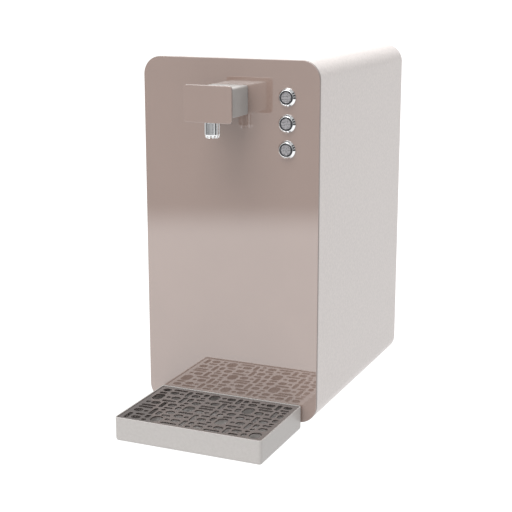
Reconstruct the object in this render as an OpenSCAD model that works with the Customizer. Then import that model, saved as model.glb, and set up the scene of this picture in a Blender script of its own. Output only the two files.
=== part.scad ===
// Countertop dispenser for still, chilled and sparkling water.
// Every module is drawn in the machine's own frame: X across, Y from the panel's face (0) to the
// rear, Z up from the worktop.  placed() then centres the whole machine on the origin.

/* [Cabinet] */
// Width of the cabinet
body_w = 228; // [200:0.1:290]
// Height of the cabinet above its feet
body_h = 440; // [438:1:560]
// Depth of the cabinet from the panel's face to the rear cover
body_d = 320; // [320:1:420]
// Outer corner radius of the cabinet
corner_r = 22.5; // [15:0.5:28]
// Sheet thickness of the cabinet sleeve
shell_t = 1.6; // [1:0.1:2.5]
// Height of the rubber feet
foot_h = 8; // [5:0.5:16]
// Radius of a rubber foot
foot_r = 12; // [8:0.5:15]
// Thickness of the mirror panel
panel_t = 4; // [3:0.1:6]
// Thickness of the frame that the panel is bonded to
frame_t = 3; // [2:0.1:5]
// Width of the frame that the panel is bonded to
frame_w = 12; // [8:0.5:16]
// Thickness of the rear cover
cover_t = 1.5; // [1:0.1:3]
// Thickness of the base plate
base_t = 1.5; // [1:0.1:3]
// Clearance around a piece that drops into another
fit_gap = 0.3; // [0.1:0.05:0.6]

/* [Spout] */
// Width of the spout's front plate
plate_w = 61; // [54:0.5:76]
// Height of the spout's front plate
plate_h = 43; // [38:0.5:54]
// Thickness of the spout's front plate
plate_t = 3; // [2:0.5:5]
// Width of the spout housing
spout_w = 47.6; // [40:0.1:60]
// Height of the spout housing
spout_h = 34.6; // [30:0.1:44]
// Wall of the spout housing
spout_wall = 2; // [1.5:0.1:3]
// Corner radius of the spout's front plate
plate_r = 4; // [1:0.25:8]
// How far the spout housing stands out from the panel
spout_out = 57; // [48:0.5:70]
// Distance of the spout's centre line below the cabinet's top
spout_drop = 48; // [40:1:70]
// Radius of the nozzle
nozzle_r = 9; // [8:0.25:10.5]
// Length of the nozzle below the spout housing
nozzle_len = 22.7; // [15:0.1:35]
// Distance of the nozzle's axis behind the back of the front plate
nozzle_set = 9.5; // [9:0.5:16]

/* [Buttons] */
// Distance of the buttons from the machine's middle plane
button_x = 74; // [58:0.5:86]
// Distance of the top button below the cabinet's top
button_drop = 43; // [34:0.5:60]
// Distance from one button to the next
button_pitch = 30.5; // [28:0.5:40]
// Radius of a button's threaded barrel
barrel_r = 9.4; // [8.6:0.1:10.8]
// Radius of a button's bezel
bezel_r = 11; // [10:0.1:13]
// How far a bezel stands out from the panel
bezel_h = 4; // [3:0.1:6]
// Radius of a button's cap
cap_r = 6.3; // [5:0.1:7]
// Travel of a button
button_travel = 1.8; // [0.8:0.1:2.5]

/* [Drip tray] */
// Width of the drip tray
tray_w = 191; // [150:0.5:226]
// Depth of the drip tray
tray_d = 124.5; // [100:0.5:150]
// Height of the drip tray
tray_h = 30; // [24:0.5:40]
// Wall of the drip tray
tray_wall = 1.6; // [1.2:0.1:3]
// Corner radius of the drip tray
tray_r = 4; // [2:0.25:6]
// Rounding of the drip tray's lower edges
tray_edge = 3.5; // [1:0.25:5]
// Gap between the drip tray and the panel
tray_gap = 0.5; // [0.3:0.1:3]
// Thickness of the drip grille
grille_t = 1.5; // [1:0.1:2.5]
// Depth of the grille's face below the tray's rim
grille_sink = 1; // [0.5:0.1:3]
// Groups of holes across the grille
grille_nx = 13; // [10:1:15]
// Rows of groups from the front to the back of the grille
grille_ny = 5; // [4:1:6]

/* [Cooling] */
// Radius of the cold tank
tank_r = 66.8; // [50:0.1:74]
// Height of the cold tank
tank_h = 216; // [170:1:260]
// Wall of the foam around the tank
foam_wall = 17; // [12:0.5:22]
// Radius of the evaporator's tube
coil_tube_r = 4; // [3:0.25:5]
// Height of the shelf that the tank stands on
shelf_z = 168; // [160:1:200]
// Radius of the compressor
comp_r = 45; // [38:0.5:46]
// Height of the compressor
comp_h = 110; // [90:1:116]
// Width and height of the fan
fan_size = 80; // [60:1:82]
// Depth of the fan
fan_d = 25; // [15:1:30]
// Number of fan blades
fan_blades = 7; // [5:1:9]
// Depth of the condenser
cond_d = 30; // [20:1:35]
// Number of condenser fins
cond_fins = 18; // [10:1:24]

/* [Connections] */
// Height of the row of sockets and fittings on the rear cover
service_z = 212; // [205:1:250]
// Outside radius of the water inlet's thread
inlet_r = 13.2; // [10:0.1:14]
// Length of the water inlet's thread
inlet_len = 14; // [10:0.5:20]
// Radius of the gas tube that pushes into the gas inlet
gas_tube_r = 4; // [3:0.5:5]
// Depth of the gas inlet's bore
gas_bore_len = 18; // [12:0.5:20]

/* [Hidden] */
$fn = 64;
eps = 0.05;
top_z = foot_h + body_h;
bottom_z = foot_h + shell_t;
floor_z = bottom_z + base_t;
base_half = body_w / 2 - corner_r - 0.5;
cover_y = body_d - cover_t;
lip_w = 14;
lip_y = cover_y - shell_t;
mid_z = foot_h + body_h / 2;
origin_y = (tray_d + tray_gap - body_d - inlet_len) / 2;

spout_z = top_z - spout_drop;
spout_floor = spout_z - spout_h / 2;
nozzle_y = nozzle_set - spout_out;
nozzle_bottom = spout_floor - nozzle_len;
spigot_r = 6;
spigot_top = spout_floor + 9.5;
pipe_r = 4;
pipe_bore = 3;
screw_r = 2;
spout_screw_z = [spout_z - 8, spout_z + 8];
spout_screw_x = spout_w / 2 - spout_wall - 6.5;

button_z = [for (i = [0 : 2]) top_z - button_drop - i * button_pitch];
ring_r = bezel_r - 2.8;
ring_front = -bezel_h;
cap_gap = 0.1;
barrel_len = 20;
cap_len = 4.5;
switch_y = 8;

grille_half_w = tray_w / 2 - tray_wall - fit_gap;
grille_half_d = tray_d / 2 - tray_wall - fit_gap;
grille_top = tray_h - grille_sink;
tray_mid_y = -tray_gap - tray_d / 2;
grille_border = 4;

foam_half = tank_r + 2 * coil_tube_r + 3.2 + foam_wall;
foam_floor = 20;
tank_y = body_d / 2 + 10;
tank_z = shelf_z + foam_floor;
coil_r = tank_r + coil_tube_r + 0.2;
coil_turns = 9;
coil_step = 18;
coil_z = tank_z + 32;

shelf_t = 2;
post = 8;
post_x = base_half - post - 1;
shelf_half = base_half;
shelf_front = 12;
shelf_back = cover_y - shell_t - 3;

comp_x = -42;
comp_y = body_d - 75;
grommet_h = 10;
comp_plate_t = 2.5;
comp_z = floor_z + grommet_h + comp_plate_t;
comp_bolt = 36;
comp_top = comp_z + comp_h;

cond_x = 48;
cond_y = body_d - 22 - cond_d;
cond_h = 126;
cond_w = fan_size + 2;
fan_y = cond_y - fan_d - 2;
fan_z = floor_z + 20 + fan_size / 2;
fan_bore = fan_size / 2 - 2;

pump_x = -50;
pump_z = floor_z + 36;
pump_motor_r = 30;
pump_head_r = 22;
pump_front = 30;

valve_x = [-40, -18, 18];
manifold_top = shelf_z + 25;
manifold_y = 40;
carb_x = 66;
carb_y = 42;
carb_r = 24;
carb_h = 128;
hose_r = 4;
gas_hose_r = 3;
feed_y = cover_y - 42;
low_run_z = shelf_z - 18;
high_run_z = shelf_z - 9;
gas_run_x = carb_x + 16;
gas_run_y = cover_y - 34;

inlet_x = 28;
gas_x = 68;
socket_x = -78;
switch_x = -38;
rocker_r = 9.5;
rocker_half = 6;
rocker_tilt = 10;
rocker_y = body_d - 4;

// Moves the machine's own frame to the origin below the middle of its outline
module placed() {
    translate([0, origin_y, 0]) children();
}

// Rectangle about the origin with round corners
module round_rect(w, h, r) {
    square([w - 2 * r, h], center = true);
    square([w, h - 2 * r], center = true);
    for (x = [-1, 1], y = [-1, 1])
        translate([x * (w / 2 - r), y * (h / 2 - r)]) circle(r);
}

// Slot with round ends, its length along the first axis; the ends are a hair wider than the slot
module pill(length, width) {
    square([length - width, width], center = true);
    for (x = [-1, 1])
        translate([x * (length - width) / 2, 0]) circle(width / 2 + 0.04);
}

// Extrudes an outline drawn in X and Z along Y
module along_y(start, length) {
    translate([0, start + length, 0]) rotate([90, 0, 0]) linear_extrude(length) children();
}

// Extrudes an outline drawn in X and Y along Z
module along_z(start, length) {
    translate([0, 0, start]) linear_extrude(length) children();
}

// Round bar along Y
module rod_y(x, z, r, start, length, sides = 64) {
    translate([x, start, z]) rotate([-90, 0, 0]) cylinder(r = r, h = length, $fn = sides);
}

// Outline of the cabinet in X and Z, brought in by a margin
module cabinet_outline(margin) {
    translate([0, mid_z])
        round_rect(body_w - 2 * margin, body_h - 2 * margin, corner_r - margin);
}

// One straight length of round bar between two points
module bar(a, b, r) {
    d = b - a;
    translate(a)
        rotate([0, acos(d[2] / norm(d)), atan2(d[1], d[0])])
            cylinder(r = r, h = norm(d));
}

// Quarter turn of round bar around the corner b of the path a, b, c, whose legs meet at a right angle
module elbow(a, b, c, r, bend) {
    arrive = (b - a) / norm(b - a);
    leave = (c - b) / norm(c - b);
    side = cross(-leave, arrive);
    centre = b + bend * (leave - arrive);
    multmatrix([for (k = [0 : 2]) [-leave[k], arrive[k], side[k], centre[k]]])
        rotate_extrude(angle = 90) translate([bend, 0]) circle(r, $fn = 32);
}

// Bent pipe through a list of points, each leg square to the next
module run(points, r, bend) {
    last = len(points) - 1;
    for (i = [0 : last - 1]) {
        leg = (points[i + 1] - points[i]) / norm(points[i + 1] - points[i]);
        bar(points[i] + (i == 0 ? 0 : bend) * leg, points[i + 1] - (i == last - 1 ? 0 : bend) * leg, r);
    }
    for (i = [1 : last - 1]) elbow(points[i - 1], points[i], points[i + 1], r, bend);
}

// Positions of the four feet, left to right and front to back
function foot_at(side, back) =
    [side * (base_half - foot_r - 4), back ? body_d - 20 : 24];

module outer_shell() {
    color("gainsboro") placed() difference() {
        along_y(panel_t, body_d - panel_t) cabinet_outline(0);
        along_y(0, lip_y) cabinet_outline(shell_t);
        along_y(lip_y - 1, shell_t + 2) cabinet_outline(shell_t + lip_w);
        along_y(cover_y, cover_t + 1) cabinet_outline(shell_t);
        for (side = [-1, 1], back = [0, 1])
            translate(foot_at(side, back)) cylinder(r = 4, h = 30);
        cover_screw_holes(1.6);
    }
}

module front_panel() {
    color("rosybrown") placed() difference() {
        along_y(0, panel_t) cabinet_outline(0);
        for (z = button_z) rod_y(button_x, z, barrel_r + 0.3, -1, panel_t + 2);
        rod_y(0, spout_z, pipe_r + 2, -1, panel_t + 2);
        for (side = [-1, 1], z = spout_screw_z)
            rod_y(side * spout_screw_x, z, screw_r + 0.3, -1, panel_t + 2);
    }
}

module front_frame() {
    color("dimgray") placed() difference() {
        along_y(panel_t, frame_t) cabinet_outline(shell_t + 0.1);
        along_y(panel_t - 1, frame_t + 2) cabinet_outline(shell_t + frame_w);
    }
}

// Positions of the rear cover's screws, on the middle line of the shell's lip
module cover_screw_spots() {
    edge_x = body_w / 2 - shell_t - lip_w / 2;
    edge_z = body_h / 2 - shell_t - lip_w / 2;
    for (side = [-1, 1], row = [-0.7, 0, 0.7])
        translate([side * edge_x, 0, mid_z + row * body_h / 2]) children();
    for (end = [-1, 1])
        translate([0, 0, mid_z + end * edge_z]) children();
}

module cover_screw_holes(r) {
    cover_screw_spots() rod_y(0, 0, r, lip_y - 1, shell_t + cover_t + 2);
}

module rear_cover() {
    slots = 9;
    color("darkgray") placed() difference() {
        along_y(cover_y, cover_t) cabinet_outline(shell_t + fit_gap);
        cover_screw_holes(1.9);
        along_y(cover_y - 1, cover_t + 2) for (i = [0 : slots - 1]) {
            translate([cond_x, floor_z + 16 + i * 13]) pill(fan_size * 0.85, 4);
            translate([comp_x, floor_z + 16 + i * 13]) pill(2 * comp_r * 0.8, 4);
            translate([0, service_z + 75 + i * 13]) pill(body_w * 0.55, 4);
        }
        rod_y(inlet_x, service_z, 8.3, cover_y - 1, cover_t + 2);
        rod_y(gas_x, service_z, 6.3, cover_y - 1, cover_t + 2);
        along_y(cover_y - 1, cover_t + 2) {
            translate([socket_x, service_z]) square([27.4, 20.2], center = true);
            translate([switch_x, service_z]) square([17.4, 22.4], center = true);
        }
    }
}

module base_plate() {
    color("silver") placed() difference() {
        translate([-base_half, shelf_front - 2, bottom_z])
            cube([2 * base_half, shelf_back - shelf_front + 4, base_t]);
        for (side = [-1, 1], back = [0, 1])
            translate(foot_at(side, back)) cylinder(r = 4, h = 30);
        for (x = [-1, 1], y = [-1, 1])
            translate([comp_x + x * comp_bolt, comp_y + y * comp_bolt, 0]) cylinder(r = 3.1, h = 30);
    }
}

// Rubber foot with a stem that snaps through the shell and the base plate
module foot(side, back) {
    stem_r = 3.9;
    color("black") placed() translate(foot_at(side, back)) {
        cylinder(r1 = foot_r - 1.5, r2 = foot_r, h = 2);
        translate([0, 0, 2]) cylinder(r = foot_r, h = foot_h - 2);
        cylinder(r = stem_r, h = floor_z);
        translate([0, 0, floor_z]) cylinder(r1 = stem_r + 1.2, r2 = stem_r - 1, h = 4);
    }
}

module rear_cover_screws() {
    color("silver") placed() cover_screw_spots() {
        rod_y(0, 0, 1.5, lip_y - 4, body_d + 0.5 - lip_y + 4);
        difference() {
            rod_y(0, 0, 3.2, body_d, 2);
            rod_y(0, 0, 1.4, body_d + 0.8, 3, 6);
        }
    }
}

module spout_housing() {
    color("whitesmoke") placed() difference() {
        along_y(-spout_out, spout_out) translate([0, spout_z]) round_rect(spout_w, spout_h, 2.5);
        difference() {
            along_y(-spout_out - 1, spout_out + 1 - spout_wall)
                translate([0, spout_z])
                    round_rect(spout_w - 2 * spout_wall, spout_h - 2 * spout_wall, 0.8);
            for (side = [-1, 1], z = spout_screw_z)
                rod_y(side * spout_screw_x, z, 4, -14, 14);
        }
        rod_y(0, spout_z, pipe_r + 1, -spout_wall - 1, spout_wall + 2);
        translate([0, nozzle_y, spout_floor - 1]) cylinder(r = spigot_r + 0.1, h = spout_wall + 2);
        for (side = [-1, 1], z = spout_screw_z)
            rod_y(side * spout_screw_x, z, screw_r + 0.05, -12, 13);
    }
}

module spout_front_plate() {
    color("rosybrown") placed()
        along_y(-spout_out - plate_t, plate_t)
            translate([0, spout_z]) round_rect(plate_w, plate_h, plate_r);
}

module spout_screws() {
    color("silver") placed() for (side = [-1, 1], z = spout_screw_z) {
        rod_y(side * spout_screw_x, z, screw_r, -11, 11 + panel_t);
        difference() {
            rod_y(side * spout_screw_x, z, 3.6, panel_t, 3);
            rod_y(side * spout_screw_x, z, 1.5, panel_t + 1.2, 3, 6);
        }
    }
}

// Fluted chrome nozzle: flange, twelve flutes, a toothed mouth and a threaded spigot
module nozzle_body() {
    flutes = 12;
    mouth_r = 6;
    color("silver") placed() translate([0, nozzle_y, 0]) difference() {
        union() {
            translate([0, 0, nozzle_bottom + 4]) cylinder(r = nozzle_r, h = nozzle_len - 4);
            translate([0, 0, nozzle_bottom])
                cylinder(r1 = nozzle_r - 1.2, r2 = nozzle_r, h = 4);
            translate([0, 0, spout_floor - 1]) cylinder(r = spigot_r, h = spigot_top - spout_floor + 1);
        }
        translate([0, 0, nozzle_bottom - 1]) cylinder(r = pipe_bore, h = 80);
        translate([0, 0, nozzle_bottom - 1]) cylinder(r = mouth_r, h = 8);
        for (i = [0 : flutes - 1]) rotate([0, 0, i * 360 / flutes]) {
            translate([nozzle_r + 0.5, 0, nozzle_bottom - 1])
                cylinder(r = 1.4, h = nozzle_len - 3, $fn = 32);
            rotate([0, 0, 180 / flutes])
                translate([mouth_r - 1, -0.6, nozzle_bottom - 1]) cube([6, 1.2, 3.4]);
        }
    }
}

// Flow straightener in the nozzle's mouth
module nozzle_insert() {
    color("lightgray") placed() translate([0, nozzle_y, nozzle_bottom + 1]) difference() {
        cylinder(r = 5.95, h = 6);
        translate([0, 0, -1]) cylinder(r = 0.8, h = 8, $fn = 24);
        for (i = [0 : 5]) rotate([0, 0, i * 60])
            translate([3, 0, -1]) cylinder(r = 0.9, h = 8, $fn = 24);
    }
}

module nozzle_nut() {
    color("goldenrod") placed() translate([0, nozzle_y, spout_floor + spout_wall]) difference() {
        rotate([0, 0, 30]) cylinder(r = 9.4, h = 4, $fn = 6);
        translate([0, 0, -1]) cylinder(r = spigot_r + 0.05, h = 6);
    }
}

module outlet_pipe() {
    bend = 7;
    path = [[0, nozzle_y, spigot_top], [0, nozzle_y, spout_z], [0, manifold_y, spout_z],
        [0, manifold_y, manifold_top]];
    color("silver") placed() difference() {
        run(path, pipe_r, bend);
        run(path, pipe_bore, bend);
    }
}

// One push button, in four pieces, each drawn about the button's own axis
module at_button(i) {
    placed() translate([button_x, 0, button_z[i]]) children();
}

module button_bezel(i) {
    rim = 1.2;
    color("silver") at_button(i) difference() {
        union() {
            rod_y(0, 0, bezel_r, -rim, rim);
            translate([0, -rim, 0]) rotate([90, 0, 0])
                cylinder(r1 = bezel_r - 0.3, r2 = ring_r + 0.5, h = bezel_h - rim);
            rod_y(0, 0, barrel_r, -eps, barrel_len + eps);
        }
        rod_y(0, 0, ring_r, -bezel_h - 1, bezel_h + barrel_len + 2);
    }
}

module button_ring(i) {
    color("black") at_button(i) difference() {
        rod_y(0, 0, ring_r - 0.05, ring_front, switch_y - ring_front);
        rod_y(0, 0, cap_r + cap_gap, ring_front - 1, switch_y - ring_front - 1);
        rod_y(0, 0, 2.7, 0, switch_y + 1);
    }
}

module button_cap(i) {
    color("darkgray") at_button(i) {
        rod_y(0, 0, cap_r, ring_front - 0.3, cap_len);
        rod_y(0, 0, 2.6, ring_front - 0.4 + cap_len, switch_y - button_travel - cap_len + 4);
    }
}

module button_switch(i) {
    tail = 12;
    color("darkslategray") at_button(i) difference() {
        union() {
            rod_y(0, 0, ring_r - 0.15, switch_y, barrel_len - switch_y);
            rod_y(0, 0, barrel_r, barrel_len, 2);
            rod_y(0, 0, ring_r - 0.15, barrel_len + 2, tail);
            for (x = [-4, 0, 4])
                translate([x - 1.2, barrel_len + 2 + tail, -0.4]) cube([2.4, 7, 0.8]);
        }
        rod_y(0, 0, 2.8, switch_y - 1, 4);
    }
}

module button_nuts() {
    color("silver") for (i = [0 : 2]) at_button(i) difference() {
        rod_y(0, 0, barrel_r + 3.6, panel_t, 3, 6);
        rod_y(0, 0, barrel_r + 0.05, panel_t - 1, 5);
    }
}

// Block with round upright corners and rounded lower edges
module tray_block(w, d, h, r, edge) {
    intersection() {
        along_z(0, h) round_rect(w, d, r);
        translate([0, -d / 2 - 1, 0]) along_y(0, d + 2)
            translate([0, h]) round_rect(w, 2 * h, edge);
        rotate([0, 0, 90]) translate([0, -w / 2 - 1, 0]) along_y(0, w + 2)
            translate([0, h]) round_rect(d, 2 * h, edge);
    }
}

module drip_tray() {
    ledge = 2;
    ledge_z = grille_top - grille_t;
    inside_w = tray_w - 2 * tray_wall;
    inside_d = tray_d - 2 * tray_wall;
    color("gainsboro") placed() translate([0, tray_mid_y, 0]) difference() {
        tray_block(tray_w, tray_d, tray_h, tray_r, tray_edge);
        along_z(ledge_z, tray_h) round_rect(inside_w, inside_d, tray_r - 1);
        along_z(2.4, tray_h) round_rect(inside_w - 2 * ledge, inside_d - 2 * ledge, tray_r - 1);
    }
}

// Sum of the first values of a list
function sum_of(values, count) = count < 1 ? 0 : values[count - 1] + sum_of(values, count - 1);

// Holes of one group of the grille, which a turn of 1 or -1 flips from front to back: a slot
// across beside a pebble and a dot, a slot along, a large pebble, a short slot across beside a
// pebble, or a dot beside a short slot along
module grille_cell(kind, w, h, turn) {
    web = 3.2;
    slot = 5.4;
    dot_r = 2.9;
    slot_y = turn * (h - web - slot) / 2;
    beside_y = -turn * (slot + web) / 2;
    beside_h = h - slot - 2 * web;
    short_h = h - 2 * web - 2 * dot_r;
    if (kind == 0) {
        pebble = w * 0.52;
        translate([0, slot_y]) pill(w - web, slot);
        translate([turn * (pebble - w + web) / 2, beside_y])
            pill(pebble, min(beside_h, pebble - 1));
        translate([turn * ((w - web) / 2 - dot_r), beside_y]) circle(dot_r);
    } else if (kind == 1) {
        rotate(90) pill(h - web, slot);
    } else if (kind == 2) {
        rotate(90) pill(h - web, min(w, h * 0.85) - web);
    } else if (kind == 3) {
        translate([0, slot_y]) pill(w - web, slot);
        translate([0, beside_y]) pill(w - web, min(beside_h, w - web - 1));
    } else {
        translate([0, turn * ((h - web) / 2 - dot_r)]) circle(dot_r);
        translate([0, -turn * (dot_r + web / 2)]) rotate(90)
            pill(short_h, min(slot + 1, short_h - 0.4));
    }
}

module grille_row(row, h) {
    deck = [1, 3, 4, 2, 0, 1, 4, 3, 0];
    shares = [2.4, 0.9, 1.75, 1.55, 1];
    kinds = [for (i = [0 : grille_nx - 1]) deck[(i + 4 * row) % len(deck)]];
    widths = [for (kind = kinds) shares[kind]];
    first_x = grille_border - grille_half_w;
    unit = -2 * first_x / sum_of(widths, grille_nx);
    for (i = [0 : grille_nx - 1]) {
        turn = (i + row) % 2 * 2 - 1;
        translate([(sum_of(widths, i) + widths[i] / 2) * unit + first_x, turn * 0.7])
            grille_cell(kinds[i], widths[i] * unit, h, turn);
    }
}

module drip_grille() {
    shares = rands(0.94, 1.08, grille_ny, 5);
    first_y = grille_border - grille_half_d;
    unit = -2 * first_y / sum_of(shares, grille_ny);
    color("tan") placed() translate([0, tray_mid_y, 0]) along_z(grille_top - grille_t, grille_t)
        difference() {
            round_rect(2 * grille_half_w, 2 * grille_half_d, tray_r - 1.3);
            for (row = [0 : grille_ny - 1])
                translate([0, (sum_of(shares, row) + shares[row] / 2) * unit + first_y])
                    grille_row(row, shares[row] * unit);
        }
}

module tank_shelf() {
    post_h = shelf_z - shelf_t - floor_z;
    color("silver") placed() difference() {
        union() {
            translate([-shelf_half, shelf_front, shelf_z - shelf_t])
                cube([2 * shelf_half, shelf_back - shelf_front, shelf_t]);
            for (side = [0, 1], back = [0, 1])
                translate([side ? post_x : -post_x - post,
                        back ? shelf_back - post : shelf_front, floor_z])
                    cube([post, post, post_h]);
        }
        for (spot = [[inlet_x, feed_y, hose_r], [carb_x, carb_y, hose_r],
                [gas_run_x, gas_run_y, gas_hose_r], [gas_run_x, carb_y, gas_hose_r],
                [coil_r, tank_y, coil_tube_r]])
            translate([spot[0], spot[1], shelf_z - shelf_t - 1])
                cylinder(r = spot[2] + 1, h = shelf_t + 2);
    }
}

// Solid of revolution with rounded edges, standing on z = 0
module drum(r, h, edge) {
    rotate_extrude() translate([0, h / 2]) intersection() {
        round_rect(2 * r, h, edge);
        translate([0, -h / 2]) square([r + 1, h]);
    }
}

// Vessel of sheet steel with a port in its top, standing on z = 0
module vessel(r, h, edge, port_r) {
    wall = 1.5;
    difference() {
        drum(r, h, edge);
        translate([0, 0, wall]) drum(r - wall, h - 2 * wall, edge - wall);
        translate([0, 0, h - 2 * wall]) cylinder(r = port_r, h = 3 * wall);
    }
}

module cold_tank() {
    color("lightsteelblue") placed() translate([0, tank_y, tank_z]) vessel(tank_r, tank_h, 18, 6);
}

module tank_insulation() {
    hollow_h = tank_h + 8;
    color("darkslategray") placed() translate([0, tank_y, shelf_z]) difference() {
        linear_extrude(hollow_h + 2 * foam_floor)
            round_rect(2 * foam_half, 2 * foam_half, 10);
        translate([0, 0, foam_floor]) cylinder(r = foam_half - foam_wall, h = hollow_h);
        translate([coil_r, 0, -1]) cylinder(r = coil_tube_r + 0.5, h = foam_floor + 2);
    }
}

module evaporator_coil() {
    color("peru") placed() translate([0, tank_y, 0]) {
        for (i = [0 : coil_turns - 1])
            translate([0, 0, coil_z + i * coil_step])
                rotate_extrude() translate([coil_r, 0]) circle(coil_tube_r, $fn = 32);
        translate([coil_r, 0, tank_z + 8])
            cylinder(r = coil_tube_r - 0.3, h = coil_z - tank_z - 8 + (coil_turns - 1) * coil_step);
    }
}

module compressor() {
    color("black") placed() translate([comp_x, comp_y, comp_z]) difference() {
        union() {
            translate([0, 0, -eps]) drum(comp_r, comp_h + eps, 20);
            translate([0, 0, comp_h * 0.55]) cylinder(r = comp_r + 1.8, h = 4);
            translate([0, 0, -comp_plate_t]) linear_extrude(comp_plate_t)
                round_rect(2 * comp_bolt + 14, 2 * comp_bolt + 14, 7);
            translate([-comp_r - 6, -16, 40]) cube([12, 32, 36]);
        }
        for (x = [-1, 1], y = [-1, 1])
            translate([x * comp_bolt, y * comp_bolt, -comp_plate_t - 1]) cylinder(r = 3.2, h = 5);
    }
}

module at_comp_bolts() {
    placed() for (x = [-1, 1], y = [-1, 1])
        translate([comp_x + x * comp_bolt, comp_y + y * comp_bolt, 0]) children();
}

module compressor_grommets() {
    color("black") at_comp_bolts() translate([0, 0, floor_z]) difference() {
        cylinder(r = 6.5, h = grommet_h);
        translate([0, 0, -1]) cylinder(r = 3.1, h = grommet_h + 2);
        translate([0, 0, grommet_h / 2]) rotate_extrude() translate([8, 0]) circle(2.4, $fn = 32);
    }
}

module compressor_bolts() {
    color("silver") at_comp_bolts() {
        translate([0, 0, bottom_z]) cylinder(r = 3, h = comp_z + 4 - bottom_z);
        translate([0, 0, comp_z]) cylinder(r = 5.6, h = 4, $fn = 6);
    }
}

// Fin-and-tube condenser that stands on two feet
module condenser() {
    fin_t = 0.6;
    pitch = (cond_w - 4) / (cond_fins - 1);
    foot_gap = 8;
    color("lightgray") placed() translate([cond_x - cond_w / 2, cond_y, floor_z]) {
        for (i = [0 : cond_fins - 1])
            translate([2 + i * pitch - fin_t / 2, 0, foot_gap]) cube([fin_t, cond_d, cond_h - foot_gap]);
        for (x = [0, cond_w - 1.5]) translate([x, 0, 0]) cube([1.5, cond_d, cond_h]);
        for (row = [0, 1], k = [0 : 4])
            translate([-eps, cond_d * (0.28 + 0.44 * row), foot_gap + 14 + k * 23])
                rotate([0, 90, 0]) cylinder(r = 3.5, h = cond_w + 2 * eps, $fn = 32);
    }
}

module fan_frame() {
    hub_r = fan_size * 0.19;
    color("black") placed() translate([cond_x, fan_y, fan_z]) difference() {
        union() {
            difference() {
                along_y(0, fan_d) round_rect(fan_size, fan_size, 4);
                rod_y(0, 0, fan_bore, -1, fan_d + 2);
            }
            for (a = [45 : 90 : 315]) rotate([0, a, 0])
                translate([0, fan_d - 4, -1.5]) cube([fan_bore + 1, 4, 3]);
            rod_y(0, 0, hub_r, fan_d - 4, 4);
            for (x = [-1, 1])
                translate([x * (fan_size / 2 - 6) - 4, 0, floor_z - fan_z])
                    cube([8, fan_d, fan_z - floor_z - fan_bore + 4]);
        }
        rod_y(0, 0, fan_bore, -1, fan_d - 3);
        rod_y(0, 0, 1.55, fan_d - 5, 6);
    }
}

module fan_rotor() {
    hub_r = fan_size * 0.19;
    tip_r = fan_bore - 1.2;
    pitch_angle = 32;
    color("dimgray") placed() translate([cond_x, fan_y, fan_z]) {
        rod_y(0, 0, hub_r, 2, fan_d - 7);
        rod_y(0, 0, 1.5, 2, fan_d - 3);
        intersection() {
            rod_y(0, 0, tip_r, 2.5, fan_d - 8);
            for (i = [0 : fan_blades - 1]) rotate([0, i * 360 / fan_blades, 0])
                translate([hub_r - 1, fan_d / 2 - 2, 0]) rotate([pitch_angle, 0, 0])
                    translate([0, -14, -0.8]) cube([fan_size, 28, 1.6]);
        }
    }
}

module pump_motor() {
    start = pump_front + 40;
    length = 95;
    color("dimgray") placed() {
        rod_y(pump_x, pump_z, pump_motor_r, start, length);
        rod_y(pump_x, pump_z, 10, start + length - eps, 6);
        translate([pump_x - 24, start + 12, floor_z]) cube([48, length - 24, pump_z - floor_z - 15]);
    }
}

// Brass rotary vane pump with one port to the side and one on top
module pump_head() {
    color("goldenrod") placed() {
        rod_y(pump_x, pump_z, pump_head_r, pump_front, 40);
        bar([pump_x, carb_y, pump_z], [pump_x, carb_y, pump_z + pump_head_r + 10], 6);
        bar([pump_x, carb_y + 14, pump_z], [pump_x + pump_head_r + 10, carb_y + 14, pump_z], 6);
    }
}

module carbonator() {
    color("lightsteelblue") placed() translate([carb_x, carb_y, shelf_z]) {
        vessel(carb_r, carb_h, 7, 3);
        translate([0, 0, carb_h - eps]) difference() {
            cylinder(r = 7, h = 10);
            translate([0, 0, -1]) cylinder(r = 3, h = 12);
        }
    }
}

module valve_manifold() {
    color("gray") placed() difference() {
        translate([valve_x[0] - 12, manifold_y - 15, shelf_z])
            cube([valve_x[2] - valve_x[0] + 24, 30, manifold_top - shelf_z]);
        translate([0, manifold_y, manifold_top - 10]) cylinder(r = pipe_bore, h = 20);
    }
}

// Solenoid valve: armature tube with its coil and a retaining nut
module valve(i) {
    color("steelblue") placed() translate([valve_x[i], manifold_y, manifold_top]) {
        cylinder(r = 7.5, h = 4);
        translate([-10, -11, 4 - eps]) cube([20, 22, 26]);
        translate([0, 0, 30 - 2 * eps]) cylinder(r = 5, h = 5);
        translate([0, 0, 34]) cylinder(r = 6, h = 4, $fn = 6);
    }
}

module control_board() {
    board_w = 78;
    board_h = 128;
    gap = 7;
    board_t = 1.6;
    face_y = tank_y - foam_half;
    back_y = face_y - gap;
    color("seagreen") placed() translate([-50, 0, shelf_z + 92]) {
        translate([-board_w / 2, back_y - board_t, 0]) cube([board_w, board_t, board_h]);
        for (x = [-1, 1], z = [8, board_h - 8])
            rod_y(x * (board_w / 2 - 8), z, 3, back_y - eps, gap + eps, 24);
        for (k = [0 : 2])
            translate([-28 + k * 20, back_y - board_t - 11, 78]) cube([15, 11 + eps, 20]);
        for (k = [0 : 1])
            rod_y(-20 + k * 20, 24, 7, back_y - board_t - 13, 13 + eps, 32);
        translate([12, back_y - board_t - 9, 14]) cube([20, 9 + eps, 40]);
    }
}

module water_inlet() {
    color("silver") placed() difference() {
        union() {
            rod_y(inlet_x, service_z, inlet_r, body_d, inlet_len);
            rod_y(inlet_x, service_z, 8, feed_y + 20, body_d - feed_y - 20 + eps);
            rod_y(inlet_x, service_z, 14, cover_y - 5, 5, 6);
        }
        rod_y(inlet_x, service_z, 5, body_d - 4, inlet_len + 5);
        rod_y(inlet_x, service_z, hose_r - 1, feed_y + 19, 40);
    }
}

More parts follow.
